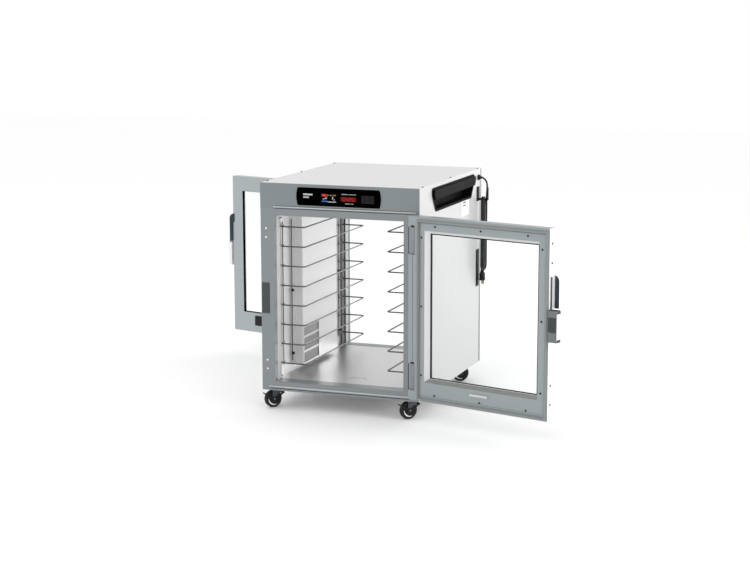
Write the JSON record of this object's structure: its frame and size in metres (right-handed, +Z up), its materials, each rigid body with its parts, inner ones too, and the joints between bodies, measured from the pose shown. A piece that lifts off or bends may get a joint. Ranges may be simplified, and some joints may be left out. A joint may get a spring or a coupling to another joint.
{
  "type": "proofing cabinet",
  "caption": "Low pass-through heated cabinet on swivel casters for proofing dough, with a glass door at each end, wire pan slides, a top control band and a hung power cord.",
  "frame": {"origin": "on the floor, at the middle of the body in plan", "axes": "+X to the right seen from the front, +Y towards the rear door, +Z up"},
  "size_m": [1.9954, 1.3496, 0.9722],
  "materials": {
    "body_panel": "satin, brushed",
    "frame": "matt anodised grey",
    "breaker": "satin",
    "liner": "satin",
    "dark_plastic": "matt",
    "motor": "matt",
    "fan": "satin",
    "control_black": "gloss",
    "display": "gloss",
    "keys": "matt",
    "wire": "satin plated",
    "black_plastic": "matt, fine grain",
    "dark_metal": "satin",
    "screws": "satin",
    "hinge": "satin",
    "cord": "matt",
    "strap": "woven",
    "plug": "matt",
    "zinc": "bright zinc",
    "tread": "matt",
    "door": "matt anodised grey",
    "reveal": "satin",
    "glass": "clear",
    "gasket": "matt",
    "grip": "satin"
  },
  "bodies": {
    "cabinet": {"base_panel": "body_panel", "side_panel_left": "body_panel", "side_panel_right": "body_panel", "top_panel": "body_panel", "front_frame": "frame", "rear_frame": "frame", "front_header": "frame", "breaker_strips": "breaker", "liner": "liner", "floor_tray": "liner", "air_duct": "liner", "return_grille": "dark_plastic", "blower_motor": "motor", "control_panel": "control_black", "display_window": "display", "rack_left_slides": "wire", "rack_left_posts": "wire", "rack_right_slides": "wire", "rack_right_posts": "wire", "rack_clips": "black_plastic", "carry_handle_left": "black_plastic", "carry_handle_right": "black_plastic", "strike_plates": "dark_metal", "body_fasteners": "screws", "hinge_brackets": "hinge", "cord_gland": "black_plastic", "cord_tube": "cord", "cord_hank": "cord", "cord_tie": "strap", "power_plug": "plug", "cord_hook": "dark_plastic", "caster_plates": "zinc"},
    "front_door": {"front_door_shell": "door", "front_door_trim": "door", "front_door_reveal": "reveal", "front_door_glass": "glass", "front_door_gasket": "gasket", "front_door_latch": "dark_plastic", "front_door_grip": "grip", "front_door_fittings": "dark_metal"},
    "rear_door": {"rear_door_shell": "door", "rear_door_trim": "door", "rear_door_reveal": "reveal", "rear_door_glass": "glass", "rear_door_gasket": "gasket", "rear_door_latch": "dark_plastic", "rear_door_grip": "grip", "rear_door_fittings": "dark_metal"},
    "key_pad": {"key_pad": "keys"},
    "blower_wheel": {"blower_wheel": "fan"},
    "caster_fl": {"caster_fork_fl": "zinc"},
    "wheel_fl": {"caster_wheel_fl": "tread"},
    "brake_fl": {"brake_pedal_fl": "black_plastic"},
    "caster_fr": {"caster_fork_fr": "zinc"},
    "wheel_fr": {"caster_wheel_fr": "tread"},
    "brake_fr": {"brake_pedal_fr": "black_plastic"},
    "caster_rl": {"caster_fork_rl": "zinc"},
    "wheel_rl": {"caster_wheel_rl": "tread"},
    "caster_rr": {"caster_fork_rr": "zinc"},
    "wheel_rr": {"caster_wheel_rr": "tread"}
  },
  "joints": [
    {"name": "front_door_hinge", "type": "hinge", "parent": "cabinet", "child": "front_door", "pos_m": [0.338, -0.465, 0.385], "axis": [0, 0, 1], "range_deg": [-164.5, 15.5]},
    {"name": "rear_door_hinge", "type": "hinge", "parent": "cabinet", "child": "rear_door", "pos_m": [-0.338, 0.465, 0.385], "axis": [0, 0, 1], "range_deg": [-164.5, 15.5]},
    {"name": "key_press", "type": "slide", "parent": "cabinet", "child": "key_pad", "axis": [0, 1, 0], "range_m": [0, 0.0015], "stiffness_N_per_m": 600},
    {"name": "blower_spin", "type": "hinge", "parent": "cabinet", "child": "blower_wheel", "pos_m": [-0.221, 0, 0.875], "axis": [0, 0, 1], "continuous": true},
    {"name": "swivel_fl", "type": "hinge", "parent": "cabinet", "child": "caster_fl", "pos_m": [-0.306, -0.368, 0.09], "axis": [0, 0, 1], "continuous": true},
    {"name": "spin_fl", "type": "hinge", "parent": "caster_fl", "child": "wheel_fl", "pos_m": [-0.32306, -0.38762, 0.038], "axis": [0.7547, -0.6561, 0], "continuous": true},
    {"name": "brake_tilt_fl", "type": "hinge", "parent": "caster_fl", "child": "brake_fl", "pos_m": [-0.32306, -0.38762, 0.038], "axis": [-0.7547, 0.6561, 0], "range_deg": [0, 15]},
    {"name": "swivel_fr", "type": "hinge", "parent": "cabinet", "child": "caster_fr", "pos_m": [0.306, -0.368, 0.09], "axis": [0, 0, 1], "continuous": true},
    {"name": "spin_fr", "type": "hinge", "parent": "caster_fr", "child": "wheel_fr", "pos_m": [0.28894, -0.38762, 0.038], "axis": [0.7547, -0.6561, 0], "continuous": true},
    {"name": "brake_tilt_fr", "type": "hinge", "parent": "caster_fr", "child": "brake_fr", "pos_m": [0.28894, -0.38762, 0.038], "axis": [-0.7547, 0.6561, 0], "range_deg": [0, 15]},
    {"name": "swivel_rl", "type": "hinge", "parent": "cabinet", "child": "caster_rl", "pos_m": [-0.306, 0.368, 0.09], "axis": [0, 0, 1], "continuous": true},
    {"name": "spin_rl", "type": "hinge", "parent": "caster_rl", "child": "wheel_rl", "pos_m": [-0.33099, 0.36083, 0.038], "axis": [0.2756, -0.9613, 0], "continuous": true},
    {"name": "swivel_rr", "type": "hinge", "parent": "cabinet", "child": "caster_rr", "pos_m": [0.306, 0.368, 0.09], "axis": [0, 0, 1], "continuous": true},
    {"name": "spin_rr", "type": "hinge", "parent": "caster_rr", "child": "wheel_rr", "pos_m": [0.28101, 0.36083, 0.038], "axis": [0.2756, -0.9613, 0], "continuous": true}
  ]
}
